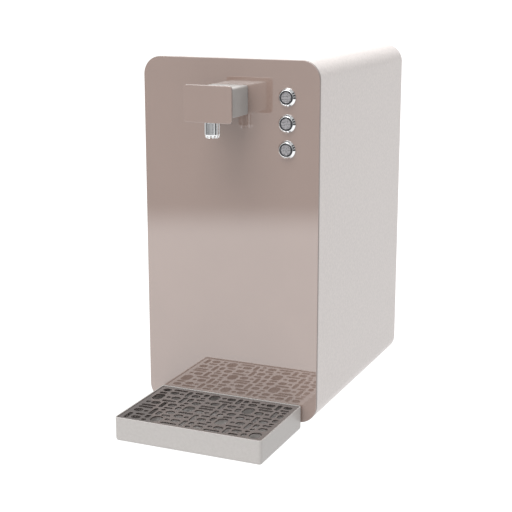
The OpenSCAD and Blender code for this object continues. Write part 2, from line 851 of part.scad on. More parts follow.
module gas_inlet() {
    color("dimgray") placed() difference() {
        union() {
            rod_y(gas_x, service_z, 9.5, body_d, 12);
            rod_y(gas_x, service_z, 6, gas_run_y + 8, body_d - gas_run_y - 8 + eps);
            rod_y(gas_x, service_z, 10, cover_y - 5, 5, 6);
        }
        rod_y(gas_x, service_z, gas_tube_r, body_d + 12 - gas_bore_len, gas_bore_len + 1);
        rod_y(gas_x, service_z, gas_hose_r - 1, gas_run_y + 7, 20);
    }
}

// Appliance inlet with three blades in its cavity
module power_inlet() {
    flange_t = 2.5;
    depth = 17;
    color("black") placed() translate([socket_x, body_d, service_z]) {
        difference() {
            union() {
                along_y(0, flange_t) round_rect(31, 24, 2.5);
                along_y(-22, 22 + eps) square([27, 19.8], center = true);
            }
            along_y(flange_t - depth, depth + 1) polygon([[-12, -8.25], [12, -8.25], [12, 4],
                [8, 8.25], [-8, 8.25], [-12, 4]]);
        }
        for (x = [-7, 0, 7])
            translate([x - 1, flange_t - depth - eps, x == 0 ? 0 : -4]) cube([2, 12.5, 4]);
    }
}

module power_switch_frame() {
    color("black") placed() translate([switch_x, body_d, service_z]) difference() {
        union() {
            along_y(0, 2) round_rect(21, 26, 2);
            along_y(-20, 20 + eps) square([17, 22], center = true);
        }
        along_y(-17, 21) square([2 * rocker_half + 0.8, 2 * rocker_r + 0.8], center = true);
        translate([-rocker_half - 1.6, rocker_y - body_d, 0]) rotate([0, 90, 0])
            cylinder(r = 1.05, h = 2 * rocker_half + 3.2);
    }
}

// Rocker: a drum segment whose face is two flats that meet on its axis
module power_rocker() {
    face = 7;
    color("dimgray") placed() translate([switch_x, rocker_y, service_z]) {
        rotate([-rocker_tilt, 0, 0]) intersection() {
            translate([-rocker_half, 0, 0]) rotate([0, 90, 0]) cylinder(r = rocker_r, h = 2 * rocker_half);
            translate([-rocker_half, 0, 0]) rotate([90, 0, 90]) linear_extrude(2 * rocker_half)
                polygon([[-3, -11], [face + 11 * tan(rocker_tilt), -11], [face, 0],
                    [face + 11 * tan(rocker_tilt), 11], [-3, 11]]);
        }
        translate([-rocker_half - 1.4, 0, 0]) rotate([0, 90, 0])
            cylinder(r = 1, h = 2 * rocker_half + 2.8, $fn = 32);
    }
}

module suction_pipe() {
    end_y = comp_y - 12;
    color("peru") placed()
        run([[coil_r, tank_y, tank_z + 8], [coil_r, tank_y, low_run_z], [comp_x, tank_y, low_run_z],
            [comp_x, end_y, low_run_z], [comp_x, end_y, comp_top]], coil_tube_r, 8);
}

module discharge_pipe() {
    start = [comp_x + 12, comp_y + 14];
    end = [cond_x - 20, cond_y + cond_d / 2];
    color("peru") placed()
        run([[start[0], start[1], comp_top], [start[0], start[1], low_run_z], [start[0], end[1], low_run_z],
            [end[0], end[1], low_run_z], [end[0], end[1], floor_z + cond_h]], gas_hose_r, 7);
}

module feed_hose() {
    port_y = carb_y + 14;
    color("white") placed()
        run([[inlet_x, feed_y + 20, service_z], [inlet_x, feed_y, service_z], [inlet_x, feed_y, high_run_z],
            [inlet_x, port_y, high_run_z], [inlet_x, port_y, pump_z],
            [pump_x + pump_head_r + 10, port_y, pump_z]], hose_r, 8.5);
}

module pump_hose() {
    color("white") placed()
        run([[pump_x, carb_y, pump_z + pump_head_r + 10], [pump_x, carb_y, low_run_z],
            [carb_x, carb_y, low_run_z], [carb_x, carb_y, shelf_z]], hose_r, 10);
}

module gas_hose() {
    color("slateblue") placed()
        run([[gas_x, gas_run_y + 8, service_z], [gas_x, gas_run_y, service_z],
            [gas_run_x, gas_run_y, service_z], [gas_run_x, gas_run_y, high_run_z],
            [gas_run_x, carb_y, high_run_z], [gas_run_x, carb_y, shelf_z]], gas_hose_r, 6);
}

outer_shell();
front_panel();
front_frame();
rear_cover();
base_plate();
foot(-1, 0);  // foot_front_left
foot(1, 0);  // foot_front_right
foot(-1, 1);  // foot_rear_left
foot(1, 1);  // foot_rear_right
rear_cover_screws();
spout_housing();
spout_front_plate();
spout_screws();
nozzle_body();
nozzle_insert();
nozzle_nut();
outlet_pipe();
button_bezel(0);  // top_button_bezel
button_bezel(1);  // middle_button_bezel
button_bezel(2);  // bottom_button_bezel
button_ring(0);  // top_button_ring
button_ring(1);  // middle_button_ring
button_ring(2);  // bottom_button_ring
button_cap(0);  // top_button_cap
button_cap(1);  // middle_button_cap
button_cap(2);  // bottom_button_cap
button_nuts();
button_switch(0);  // top_button_switch
button_switch(1);  // middle_button_switch
button_switch(2);  // bottom_button_switch
drip_tray();
drip_grille();
tank_shelf();
cold_tank();
tank_insulation();
evaporator_coil();
compressor();
compressor_grommets();
compressor_bolts();
condenser();
fan_frame();
fan_rotor();
pump_motor();
pump_head();
carbonator();
valve_manifold();
valve(0);  // still_valve
valve(1);  // chilled_valve
valve(2);  // sparkling_valve
control_board();
water_inlet();
gas_inlet();
power_inlet();
power_switch_frame();
power_rocker();
suction_pipe();
discharge_pipe();
feed_hose();
pump_hose();
gas_hose();
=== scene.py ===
import math

import bmesh
import bpy
import numpy as np
from mathutils import Euler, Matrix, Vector
from mathutils.geometry import tessellate_polygon


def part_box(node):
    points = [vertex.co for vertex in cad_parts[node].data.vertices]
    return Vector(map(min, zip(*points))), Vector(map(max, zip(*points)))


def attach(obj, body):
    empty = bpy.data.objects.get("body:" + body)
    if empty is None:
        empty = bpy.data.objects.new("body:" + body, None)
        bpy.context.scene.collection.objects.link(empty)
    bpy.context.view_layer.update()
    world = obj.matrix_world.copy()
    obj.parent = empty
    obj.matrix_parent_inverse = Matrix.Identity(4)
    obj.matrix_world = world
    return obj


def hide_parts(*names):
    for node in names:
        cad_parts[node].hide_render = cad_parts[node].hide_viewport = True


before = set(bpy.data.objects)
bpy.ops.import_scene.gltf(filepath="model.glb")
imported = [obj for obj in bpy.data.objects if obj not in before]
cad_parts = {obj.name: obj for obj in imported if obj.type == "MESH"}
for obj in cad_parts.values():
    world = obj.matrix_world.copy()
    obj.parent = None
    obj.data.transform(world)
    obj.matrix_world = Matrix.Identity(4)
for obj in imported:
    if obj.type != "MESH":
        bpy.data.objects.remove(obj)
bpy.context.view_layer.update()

scene = bpy.context.scene


# ---------------------------------------------------------------------------------------------
# Camera.  It stands in front of the machine and to its right, a little above the cabinet's top,
# and looks slightly down, as a person at the worktop does.
panel_low, panel_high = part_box("front_panel")
panel_face = panel_low.y

camera_data = bpy.data.cameras.new("camera")
camera_data.lens = 84.3
camera_data.sensor_width = 36.0
camera = bpy.data.objects.new("camera", camera_data)
camera.location = (0.5992, panel_face - 1.2906, 0.5504)
camera.rotation_euler = Euler((math.radians(90 - 13.49), 0.0, math.radians(23.64)), "XYZ")
scene.collection.objects.link(camera)
scene.camera = camera


# ---------------------------------------------------------------------------------------------
# Studio.  A glowing white table under the machine falls to the grey of the room a little over a
# metre in front of it, so the mirror front is lighter low down.  Three soft boxes light the
# machine, and black cards at the sides show only in the polished metal.
table_turn = math.radians(22.6)


def table_glow():
    """White light table that falls to the grey of the room over a short band.  The table stands
    turned, so the band runs along x sin(table_turn) + (y - panel_face) cos(table_turn)."""
    material = bpy.data.materials.new("table_glow")
    material.use_nodes = True
    nodes, links = material.node_tree.nodes, material.node_tree.links
    nodes.clear()
    place = nodes.new("ShaderNodeTexCoord")
    turn = nodes.new("ShaderNodeMapping")
    turn.inputs["Rotation"].default_value = (0.0, 0.0, table_turn)
    turn.inputs["Location"].default_value = (0.0, -panel_face * math.cos(table_turn), 0.0)
    split = nodes.new("ShaderNodeSeparateXYZ")
    band = nodes.new("ShaderNodeMapRange")
    band.interpolation_type = "SMOOTHSTEP"
    band.inputs["From Min"].default_value = -1.44
    band.inputs["From Max"].default_value = -1.03
    band.inputs["To Min"].default_value = 0.44
    band.inputs["To Max"].default_value = 1.16
    glow = nodes.new("ShaderNodeEmission")
    out = nodes.new("ShaderNodeOutputMaterial")
    links.new(place.outputs["Object"], turn.inputs["Vector"])
    links.new(turn.outputs["Vector"], split.inputs[0])
    links.new(split.outputs["Y"], band.inputs["Value"])
    links.new(band.outputs["Result"], glow.inputs["Strength"])
    links.new(glow.outputs["Emission"], out.inputs["Surface"])
    return material


reach = 90.0
table_mesh = bpy.data.meshes.new("table_top")
table_mesh.from_pydata(
    [(-reach, -reach, 0), (reach, -reach, 0), (reach, reach, 0), (-reach, reach, 0)], [], [(0, 1, 2, 3)])
table_mesh.materials.append(table_glow())
table_top = bpy.data.objects.new("table_top", table_mesh)
scene.collection.objects.link(table_top)


def soft_box(name, place, aim, size, power):
    """Soft rectangular light at a place, turned towards its aim."""
    data = bpy.data.lights.new(name, "AREA")
    data.shape = "RECTANGLE"
    data.size, data.size_y = size
    data.energy = power
    light = bpy.data.objects.new(name, data)
    light.location = place
    light.rotation_euler = (Vector(aim) - Vector(place)).to_track_quat("-Z", "Y").to_euler()
    scene.collection.objects.link(light)


soft_box("front_top_box", (-0.25, panel_face - 1.0, 2.3), (0.0, 0.0, 0.2), (1.4, 1.2), 36.0)
soft_box("rear_top_box", (-0.25, 0.5, 1.9), (0.0, 0.1, 0.4), (1.2, 1.4), 24.0)
soft_box("front_fill", (-0.9, panel_face - 2.6, 1.2), (0.0, 0.0, 0.15), (1.6, 1.6), 20.0)


def dark_flag(name, foot_a, foot_b, low, high):
    """Upright black card between two points of the table, which only shows in polished metal."""
    mesh = bpy.data.meshes.new(name)
    mesh.from_pydata([(*foot_a, low), (*foot_b, low), (*foot_b, high), (*foot_a, high)], [], [(0, 1, 2, 3)])
    material = bpy.data.materials.new(name)
    material.use_nodes = True
    material.node_tree.nodes["Principled BSDF"].inputs["Base Color"].default_value = (0.01, 0.01, 0.01, 1.0)
    mesh.materials.append(material)
    flag = bpy.data.objects.new(name, mesh)
    flag.visible_camera = flag.visible_diffuse = flag.visible_shadow = False
    scene.collection.objects.link(flag)


for k, (low, high) in enumerate(((0.06, 0.42), (0.55, 0.95), (1.10, 1.60))):
    dark_flag(f"right_flag_{k}", (1.15, panel_face - 0.72), (1.30, panel_face - 0.02), low, high)
dark_flag("near_right_flag", (0.95, -1.45), (1.12, -1.05), 0.0, 1.2)
dark_flag("left_flag", (-1.10, -0.80), (-1.20, -0.45), 0.0, 1.2)
dark_flag("far_left_flag", (-1.25, -0.25), (-1.25, 0.05), 0.0, 1.2)

world = bpy.data.worlds.new("studio_air")
world.use_nodes = True
world.node_tree.nodes["Background"].inputs["Color"].default_value = (1.0, 1.0, 1.0, 1.0)
world.node_tree.nodes["Background"].inputs["Strength"].default_value = 0.62
scene.world = world
scene.view_settings.view_transform = "Standard"


# ---------------------------------------------------------------------------------------------
# Cabinet sleeve.  One sheet of steel folded into a ring with round corners, 1.6 mm thick, with a
# lip folded in at the back, powder-coated light grey.
def outline(width, height, radius, steps):
    """Closed outline of a rectangle with round corners.  Corner k is its centre plus
    radius * (cos a, sin a), with a running through the k-th quarter turn in equal steps."""
    quarter = np.linspace(0.0, np.pi / 2, steps + 1)
    turn = quarter[None, :] + np.pi / 2 * np.arange(4)[:, None]
    across = np.array([1, -1, -1, 1])[:, None] * (width / 2 - radius)
    up = np.array([1, 1, -1, -1])[:, None] * (height / 2 - radius)
    return np.stack([across + radius * np.cos(turn), up + radius * np.sin(turn)], -1).reshape(-1, 2)


def rounded(points, radius, closed=False, steps=4):
    """Profile with its corners rounded.  Corner P becomes (1-s)^2 A + 2 s (1-s) P + s^2 B, where A
    and B lie on its two legs, the corner's radius away from P or at most halfway along the leg."""
    points = np.asarray(points, float)
    radius = np.broadcast_to(radius, len(points))
    s = np.linspace(0.0, 1.0, steps + 1)[:, None]
    rows = []
    for k, corner in enumerate(points):
        if radius[k] <= 0 or (not closed and k in (0, len(points) - 1)):
            rows.append(corner[None, :])
            continue
        legs = points[k - 1] - corner, points[(k + 1) % len(points)] - corner
        a, b = (corner + leg * min(radius[k] / np.linalg.norm(leg), 0.48) for leg in legs)
        rows.append((1 - s) ** 2 * a + 2 * s * (1 - s) * corner + s**2 * b)
    return np.concatenate(rows)


def stacked(width, height, radius, profile, steps=16):
    """Outlines stacked along a profile of (inset, depth) rows: each is the full outline brought in
    by its inset on every side.  The result is rings x points x (across, up, depth)."""
    rings = []
    for inset, depth in profile:
        flat = outline(width - 2 * inset, height - 2 * inset, max(radius - inset, 1e-4), steps)
        rings.append(np.column_stack([flat, np.full(len(flat), depth)]))
    return np.array(rings)


def facing_y(rings, centre_x=0.0, centre_z=0.0):
    """Puts (across, up, depth) points on the machine with depth running along Y."""
    return np.stack([rings[..., 0] + centre_x, rings[..., 2], rings[..., 1] + centre_z], -1)


def facing_z(rings, centre_x=0.0, centre_y=0.0):
    """Puts (across, up, depth) points on the machine with depth running along Z."""
    return np.stack([rings[..., 0] + centre_x, rings[..., 1] + centre_y, rings[..., 2]], -1)


def outward(points, faces):
    """The faces, all reversed if the volume they enclose comes out negative: the sum of
    a . (b x c) over the fan of triangles of every face."""
    total = 0.0
    for size in {len(f) for f in faces}:
        same = np.array([f for f in faces if len(f) == size])
        a = points[same[:, 0]]
        for k in range(1, size - 1):
            total += np.einsum("ij,ij->", a, np.cross(points[same[:, k]], points[same[:, k + 1]]))
    return faces if total > 0 else [tuple(reversed(f)) for f in faces]


def piece(name, points, faces, flat_faces=()):
    """Mesh object from points and faces, smooth apart from the faces numbered in flat_faces."""
    mesh = bpy.data.meshes.new(name)
    mesh.from_pydata(points, [], faces)
    smooth = np.ones(len(faces), bool)
    smooth[list(flat_faces)] = False
    mesh.polygons.foreach_set("use_smooth", smooth)
    mesh.set_sharp_from_angle(angle=math.radians(38))
    made = bpy.data.objects.new(name, mesh)
    scene.collection.objects.link(made)
    even = made.modifiers.new("even_normals", "WEIGHTED_NORMAL")
    even.keep_sharp = True
    return made


def ring_quads(rows, columns, closed=False):
    """Quads between neighbouring rings of a rows x columns grid whose columns run right round."""
    i = np.arange(rows if closed else rows - 1)[:, None]
    j = np.arange(columns)[None, :]
    after, beside = (i + 1) % rows, (j + 1) % columns
    corners = [i * columns + j, after * columns + j, after * columns + beside, i * columns + beside]
    return np.stack(np.broadcast_arrays(*corners), -1).reshape(-1, 4)


def skin(name, rings, closed=False):
    """Surface through a stack of closed rings.  A closed stack also joins the last ring to the
    first; an open one has its two ends filled with flat faces."""
    rows, columns = rings.shape[:2]
    faces = [tuple(q) for q in ring_quads(rows, columns, closed).tolist()]
    walls = len(faces)
    if not closed:
        faces.append(tuple(range(columns)))
        faces.append(tuple(reversed(range((rows - 1) * columns, rows * columns))))
    points = rings.reshape(-1, 3)
    return piece(name, points, outward(points, faces), range(walls, len(faces)))


def fitted(made, body, slot, material, *nodes):
    """Gives a piece its material and body, and hides the CAD nodes that it stands for. The slot is not
    used.
    """
    made.data.materials.clear()
    made.data.materials.append(material)
    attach(made, body)
    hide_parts(*nodes)
    return made


def new_pattern(name, **sizes):
    """Shader node group with float inputs, the outputs Mask and Height, and Object coordinates."""
    group = bpy.data.node_groups.new(name, "ShaderNodeTree")
    for label, value in sizes.items():
        socket = group.interface.new_socket(label, in_out="INPUT", socket_type="NodeSocketFloat")
        socket.default_value = value
    for label in ("Mask", "Height"):
        group.interface.new_socket(label, in_out="OUTPUT", socket_type="NodeSocketFloat")
    given = group.nodes.new("NodeGroupInput")
    out = group.nodes.new("NodeGroupOutput")
    place = group.nodes.new("ShaderNodeTexCoord")
    return group, given.outputs, out.inputs, place.outputs["Object"]


def put(group, value, socket):
    """Links a socket to an input, or sets the input to a number."""
    if isinstance(value, (int, float)):
        socket.default_value = value
    else:
        group.links.new(value, socket)


def noise(group, place, size, detail=2.0):
    """Noise with so many lumps to the metre, as a number around one half."""
    node = group.nodes.new("ShaderNodeTexNoise")
    node.inputs["Detail"].default_value = detail
    put(group, place, node.inputs["Vector"])
    put(group, size, node.inputs["Scale"])
    return node.outputs["Fac"]


def math_of(group, operation, a, b):
    """Result of one Math node on two numbers."""
    node = group.nodes.new("ShaderNodeMath")
    node.operation = operation
    put(group, a, node.inputs[0])
    put(group, b, node.inputs[1])
    return node.outputs[0]


def spread(group, value, low, high):
    """The value with low to high stretched to 0 to 1, and held there beyond."""
    node = group.nodes.new("ShaderNodeMapRange")
    node.inputs["From Min"].default_value = low
    node.inputs["From Max"].default_value = high
    put(group, value, node.inputs["Value"])
    return node.outputs["Result"]


def make_powder_grain():
    """Orange peel of a powder coat: two sizes of noise as height, and speckle from a third."""
    group, given, out, place = new_pattern("powder_grain", peel=420.0, speckle=300.0)
    fine = noise(group, place, math_of(group, "MULTIPLY", given["peel"], 2.6))
    put(group, math_of(group, "ADD", noise(group, place, given["peel"]), fine), out["Height"])
    put(group, spread(group, noise(group, place, given["speckle"], 4.0), 0.34, 0.66), out["Mask"])
    return group


powder_grain = make_powder_grain()


def finish_of(name, pattern, low, high, rough, bump=0.0, metallic=0.0, ior=1.5, **sizes):
    """Material whose colour runs from low to high and whose roughness runs through its two values
    with the mask of a pattern, over the pattern's height as a bump of the given depth."""
    material = bpy.data.materials.new(name)
    material.use_nodes = True
    nodes, links = material.node_tree.nodes, material.node_tree.links
    surface = nodes["Principled BSDF"]
    surface.inputs["Metallic"].default_value = metallic
    surface.inputs["IOR"].default_value = ior
    grain = nodes.new("ShaderNodeGroup")
    grain.node_tree = pattern
    for label, value in sizes.items():
        grain.inputs[label].default_value = value
    tint = nodes.new("ShaderNodeMix")
    tint.data_type = "RGBA"
    tint.inputs[6].default_value = (*low, 1.0)
    tint.inputs[7].default_value = (*high, 1.0)
    polish = nodes.new("ShaderNodeMapRange")
    polish.inputs["To Min"].default_value, polish.inputs["To Max"].default_value = rough
    links.new(grain.outputs["Mask"], tint.inputs[0])
    links.new(grain.outputs["Mask"], polish.inputs["Value"])
    links.new(tint.outputs[2], surface.inputs["Base Color"])
    links.new(polish.outputs["Result"], surface.inputs["Roughness"])
    if bump:
        relief = nodes.new("ShaderNodeBump")
        relief.inputs["Distance"].default_value = bump
        links.new(grain.outputs["Height"], relief.inputs["Height"])
        links.new(relief.outputs["Normal"], surface.inputs["Normal"])
    return material


shell_low, shell_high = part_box("outer_shell")
shell_size = shell_high - shell_low
shell_mid_z = (shell_low.z + shell_high.z) / 2
corner_radius = 0.0225
sheet = 0.0016
lip_width = 0.014
cover_front, cover_back = (corner.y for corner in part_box("rear_cover"))

sleeve_profile = rounded(
    [(0, shell_low.y), (sheet, shell_low.y), (sheet, cover_front - sheet),
     (sheet + lip_width, cover_front - sheet), (sheet + lip_width, cover_front - 1e-5),
     (sheet + 1e-5, cover_front - 1e-5), (sheet + 1e-5, shell_high.y), (0, shell_high.y)],
    [0.0006, 0.0004, 0, 0.0003, 0.0003, 0, 0.0004, 0.0007], closed=True)
shell_coat = finish_of("shell_powder_coat", powder_grain, (0.585, 0.544, 0.527), (0.668, 0.623, 0.604),
                       (0.36, 0.50), bump=0.00022)
fitted(skin("cabinet_sleeve", facing_y(
    stacked(shell_size.x, shell_size.z, corner_radius, sleeve_profile, 24), 0.0, shell_mid_z), closed=True),
    "cabinet", "shell_grey", shell_coat, "outer_shell")


# ---------------------------------------------------------------------------------------------
# Mirror panel.  A 4 mm sheet of taupe-tinted mirror with ground edges, which covers the sleeve's
# front edge and is bonded to the frame behind it; holes for the buttons, screws and spout pipe.
def face_loops(node, axis, level):
    """Edge loops of a CAD node's flat face at a level of one axis, as rows of the other two axes,
    the longest first.  They follow the edges that only one of the face's triangles has."""
    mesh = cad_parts[node].data
    points = np.empty(len(mesh.vertices) * 3)
    mesh.vertices.foreach_get("co", points)
    merged, where = np.unique(points.reshape(-1, 3).round(7), axis=0, return_inverse=True)
    mesh.calc_loop_triangles()
    corners = np.empty(len(mesh.loop_triangles) * 3, int)
    mesh.loop_triangles.foreach_get("vertices", corners)
    triangles = where.reshape(-1)[corners].reshape(-1, 3)
    triangles = triangles[(abs(merged[triangles, axis] - level) < 2e-6).all(1)]
    edges = np.concatenate([triangles[:, [0, 1]], triangles[:, [1, 2]], triangles[:, [2, 0]]])
    have = set(map(tuple, edges.tolist()))
    following = {a: b for a, b in have if (b, a) not in have}
    plane = [k for k in range(3) if k != axis]
    loops = []
    while following:
        start, corner = following.popitem()
        loop = [start]
        while corner != start:
            loop.append(corner)
            corner = following.pop(corner)
        loops.append(merged[loop][:, plane])
    return sorted(loops, key=lambda loop: -np.ptp(loop, axis=0).sum())


def anticlockwise(loop, wanted=True):
    """The loop, reversed if the sum of its points' cross products says that it turns the other way."""
    after = np.roll(loop, -1, axis=0)
    turns_left = (loop[:, 0] * after[:, 1] - loop[:, 1] * after[:, 0]).sum() > 0
    return loop if turns_left == wanted else loop[::-1]


def moved_left(loop, distance):
    """Loop with each point moved to the left of its direction of travel, along the mean of its two
    edges' normals, a little further where the corner is sharp."""
    ahead = np.roll(loop, -1, axis=0) - loop
    ahead /= np.linalg.norm(ahead, axis=1, keepdims=True)
    normal = np.column_stack([-ahead[:, 1], ahead[:, 0]])
    mean = normal + np.roll(normal, 1, axis=0)
    mean *= 2 / np.maximum((mean**2).sum(1), 1.0)[:, None]
    return loop + distance * mean


def pierced_plate(name, outer, holes, depths, edge, place):
    """Flat sheet with holes.  Each loop is carried through the sheet on a profile that is rounded
    at both faces, the sheet always on its left, and the two faces are filled between the loops."""
    front, back = depths
    profile = rounded([(edge, front), (0, front), (0, back), (edge, back)], edge, steps=3)
    loops = [anticlockwise(outer)] + [anticlockwise(hole, False) for hole in holes]
    points, faces, near, far, start = [], [], [], [], 0
    for loop in loops:
        rings = np.array([np.column_stack([moved_left(loop, inset), np.full(len(loop), depth)])
                          for inset, depth in profile])
        rows, columns = rings.shape[:2]
        points.append(rings.reshape(-1, 3))
        faces += [tuple(q) for q in (ring_quads(rows, columns) + start).tolist()]
        near.append(start + np.arange(columns))
        start += rows * columns
        far.append(start - columns + np.arange(columns))
    points = np.concatenate(points)
    walls = len(faces)
    for ends, left in ((near, True), (far, False)):
        flat = [[Vector((*points[k][:2], 0.0)) for k in end] for end in ends]
        triangles = np.concatenate(ends)[np.array(tessellate_polygon(flat))]
        a, b, c = (points[triangles[:, k]][:, :2] for k in range(3))
        area = ((b - a)[:, 0] * (c - a)[:, 1] - (b - a)[:, 1] * (c - a)[:, 0]).sum()
        if (area > 0) != left:
            triangles = triangles[:, ::-1]
        faces += [tuple(t) for t in triangles.tolist()]
    points = place(points)
    return piece(name, points, outward(points, faces), range(walls, len(faces)))


def make_smears():
    """Wiping marks on a polished face: soft clouds as the mask, and a slow waviness as height."""
    group, given, out, place = new_pattern("smears", size=26.0)
    put(group, spread(group, noise(group, place, given["size"], 5.0), 0.3, 0.7), out["Mask"])
    put(group, noise(group, place, given["size"], 1.0), out["Height"])
    return group


smears = make_smears()
taupe_mirror = finish_of("taupe_mirror", smears, (0.281, 0.203, 0.173), (0.291, 0.211, 0.180),
                         (0.004, 0.014), ior=2.62, size=18.0)
ground_edge = finish_of("ground_edge", smears, (0.225, 0.185, 0.170), (0.265, 0.222, 0.205),
                        (0.38, 0.52), size=400.0)


def edged(name, material):
    """Gives the faces of a sheet that look along the sheet, its ground edge, another material."""
    mesh = bpy.data.objects[name].data
    mesh.materials.append(material)
    for face in mesh.polygons:
        face.material_index = int(abs(face.normal.y) < 0.7)


panel_size = panel_high - panel_low
panel_outline = outline(panel_size.x, panel_size.z, corner_radius, 24)
fitted(pierced_plate(
    "mirror_panel", panel_outline + np.array([0.0, shell_mid_z]),
    face_loops("front_panel", 1, panel_low.y)[1:], (panel_low.y, panel_high.y), 0.0005,
    lambda p: p[:, [0, 2, 1]]), "cabinet", "panel_mirror", taupe_mirror, "front_panel")
edged("mirror_panel", ground_edge)


# ---------------------------------------------------------------------------------------------
# Front frame.  A ring of black moulded plastic, bonded to the back of the panel all round, that
# holds the panel to the sleeve.
def make_moulded_grain():
    """Spark-eroded grain of a moulding: fine noise as height, and slow clouds as the mask."""
    group, given, out, place = new_pattern("moulded_grain", size=1500.0)
    coarse = noise(group, place, math_of(group, "MULTIPLY", given["size"], 0.35))
    put(group, math_of(group, "ADD", noise(group, place, given["size"]), coarse), out["Height"])
    put(group, spread(group, noise(group, place, 60.0, 6.0), 0.3, 0.7), out["Mask"])
    return group


def dressed(node, material):
    """Gives a CAD node its material."""
    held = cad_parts[node]
    if not held.material_slots:
        held.data.materials.append(material)
    for slot in held.material_slots:
        slot.material = material


moulded_grain = make_moulded_grain()
black_plastic = finish_of("black_plastic", moulded_grain, (0.018, 0.018, 0.019), (0.028, 0.028, 0.029),
                          (0.40, 0.55), bump=0.00006)
dressed("front_frame", black_plastic)


# ---------------------------------------------------------------------------------------------
# Rear cover.  A flat steel plate with three blocks of air slots, powder-coated a darker grey and
# held to the sleeve's lip by eight socket screws.
def softened(name, node, width, turn=30.0, segments=3):
    """Copy of a CAD node's mesh with its doubles merged, its flat faces joined and every edge
    sharper than a turn rounded over by the width."""
    mesh = bpy.data.meshes.new(name)
    work = bmesh.new()
    work.from_mesh(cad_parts[node].data)
    bmesh.ops.remove_doubles(work, verts=work.verts, dist=1e-6)
    bmesh.ops.dissolve_limit(work, angle_limit=math.radians(0.6), verts=work.verts, edges=work.edges)
    work.to_mesh(mesh)
    work.free()
    mesh.polygons.foreach_set("use_smooth", np.ones(len(mesh.polygons), bool))
    made = bpy.data.objects.new(name, mesh)
    scene.collection.objects.link(made)
    edge = made.modifiers.new("rounded_edges", "BEVEL")
    edge.width = width
    edge.segments = segments
    edge.limit_method = "ANGLE"
    edge.angle_limit = math.radians(turn)
    even = made.modifiers.new("even_normals", "WEIGHTED_NORMAL")
    even.keep_sharp = True
    return made


rear_coat = finish_of("rear_powder_coat", powder_grain, (0.248, 0.243, 0.238), (0.282, 0.276, 0.270),
                      (0.38, 0.54), bump=0.00024)
rear_loops = face_loops("rear_cover", 1, cover_back)
fitted(pierced_plate("rear_plate", rear_loops[0], rear_loops[1:], (cover_front, cover_back), 0.0003,
                     lambda p: p[:, [0, 2, 1]]), "cabinet", "rear_grey", rear_coat, "rear_cover")

screw_steel = finish_of("screw_steel", smears, (0.52, 0.52, 0.53), (0.62, 0.62, 0.62), (0.22, 0.34),
                        metallic=1.0, size=900.0)
fitted(softened("cover_screws", "rear_cover_screws", 0.00035), "cabinet", "screw_steel", screw_steel,
       "rear_cover_screws")
dressed("spout_screws", screw_steel)


# ---------------------------------------------------------------------------------------------
# Rubber feet.  Four black rubber pads with gripping rings underneath and a stem that snaps
# through the sleeve and the base plate.
def turned(profile, sides=64):
    """Rings of a turned solid: each (radius, depth) row of the profile carried round as
    (radius cos t, radius sin t, depth) for equal steps of t."""
    profile = np.asarray(profile, float)
    t = np.linspace(0.0, 2 * np.pi, sides, endpoint=False)
    radius, depth = profile[:, :1], profile[:, 1:]
    return np.stack([radius * np.cos(t), radius * np.sin(t), np.repeat(depth, sides, 1)], -1)


black_rubber = finish_of("black_rubber", moulded_grain, (0.016, 0.016, 0.016), (0.034, 0.033, 0.032),
                         (0.62, 0.82), bump=0.00008, size=1100.0)
pole = 0.0003
for foot in ("foot_front_left", "foot_front_right", "foot_rear_left", "foot_rear_right"):
    low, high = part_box(foot)
    wide = (high.x - low.x) / 2
    pad_top = shell_low.z
    neck = 0.0039
    underside = [(pole, 0.0), (0.0025, 0.0), (0.003, 0.0007), (0.0045, 0.0007), (0.005, 0.0),
                 (0.0065, 0.0), (0.007, 0.0007), (0.008, 0.0007), (0.0085, 0.0), (wide - 0.0015, 0.0)]
    sides_and_stem = [(wide, 0.002), (wide, pad_top - 0.003), (wide - 0.0004, pad_top - 0.0026),
                      (wide - 0.0004, pad_top - 0.0018), (wide, pad_top - 0.0014), (wide, pad_top),
                      (neck, pad_top), (neck, high.z - 0.004), (neck + 0.0012, high.z - 0.004),
                      (neck - 0.001, high.z), (pole, high.z)]
    fitted(skin(foot + "_pad", facing_z(
        turned(rounded(underside + sides_and_stem, 0.0003, steps=2)),
        (low.x + high.x) / 2, (low.y + high.y) / 2)), "cabinet", "black_rubber", black_rubber, foot)


# ---------------------------------------------------------------------------------------------
# Spout.  A moulded box screwed to the panel from behind, closed at the front by a slab of the
# same taupe mirror with round corners and ground edges.
plate_corner, plate_cap_inset = 0.004, 0.004
plate_low, plate_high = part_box("spout_front_plate")
plate_size = plate_high - plate_low
plate_mid_z = (plate_low.z + plate_high.z) / 2
plate_profile = rounded(
    [(plate_cap_inset, plate_low.y), (0, plate_low.y), (0, plate_high.y), (plate_cap_inset, plate_high.y)],
    0.0006)
fitted(skin("spout_plate", facing_y(
    stacked(plate_size.x, plate_size.z, plate_corner, plate_profile, 8), 0.0, plate_mid_z)),
    "cabinet", "panel_mirror", taupe_mirror, "spout_front_plate")
edged("spout_plate", ground_edge)

spout_plastic = finish_of("spout_plastic", moulded_grain, (0.345, 0.335, 0.325), (0.385, 0.375, 0.365),
                          (0.30, 0.40), bump=0.00005, size=1300.0)
fitted(softened("spout_box", "spout_housing", 0.0005), "cabinet", "spout_white", spout_plastic,
       "spout_housing")


# ---------------------------------------------------------------------------------------------
# Nozzle.  Brass turned and chromed: twelve flutes down its side, a tapered mouth cut into twelve
# teeth, and a spigot that a nut holds inside the spout.  A white jet insert fills the mouth.
chrome = finish_of("chrome", smears, (0.82, 0.83, 0.84), (0.88, 0.89, 0.90), (0.03, 0.09),
                   metallic=1.0, size=220.0)
brass = finish_of("brass", smears, (0.60, 0.42, 0.16), (0.72, 0.52, 0.22), (0.22, 0.36),
                  metallic=1.0, size=300.0)
white_plastic = finish_of("white_plastic", moulded_grain, (0.62, 0.61, 0.58), (0.70, 0.69, 0.66),
                          (0.36, 0.48), bump=0.00004)

